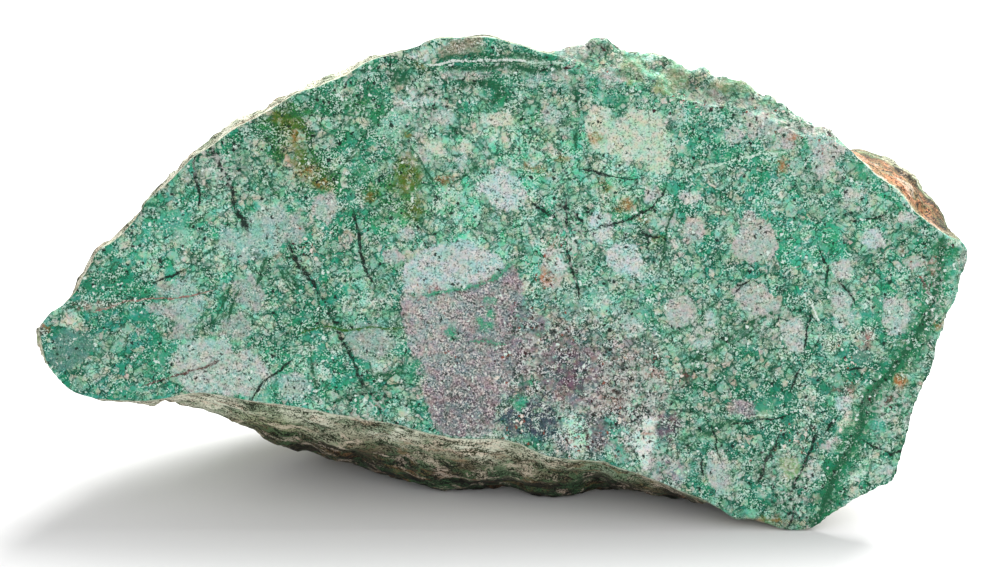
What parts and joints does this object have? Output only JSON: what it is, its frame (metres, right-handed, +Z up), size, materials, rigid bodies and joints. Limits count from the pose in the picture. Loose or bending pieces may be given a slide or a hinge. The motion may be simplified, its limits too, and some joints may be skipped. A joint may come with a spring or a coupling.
{
  "type": "raw chrysocolla rock",
  "caption": "Raw green chrysocolla rock, sawn flat across its front and left natural behind, with a broken crest, ledged sides and a split back.",
  "frame": {"origin": "on the floor, at the middle of the foot of the rock's bounding box", "axes": "+X to the right along the sawn face, the rock's longest extent; -Y the way the sawn face looks, leaning back from upright; +Z up from the floor that the rock rests on"},
  "size_m": [0.1704, 0.0682, 0.0821],
  "materials": {
    "chrysocolla": "matt, fine-grained green stone with pale clasts and dark veins; sawn on the front, natural tan and green rind elsewhere"
  },
  "bodies": {
    "root": {"chrysocolla_rock": "chrysocolla"}
  },
  "joints": []
}
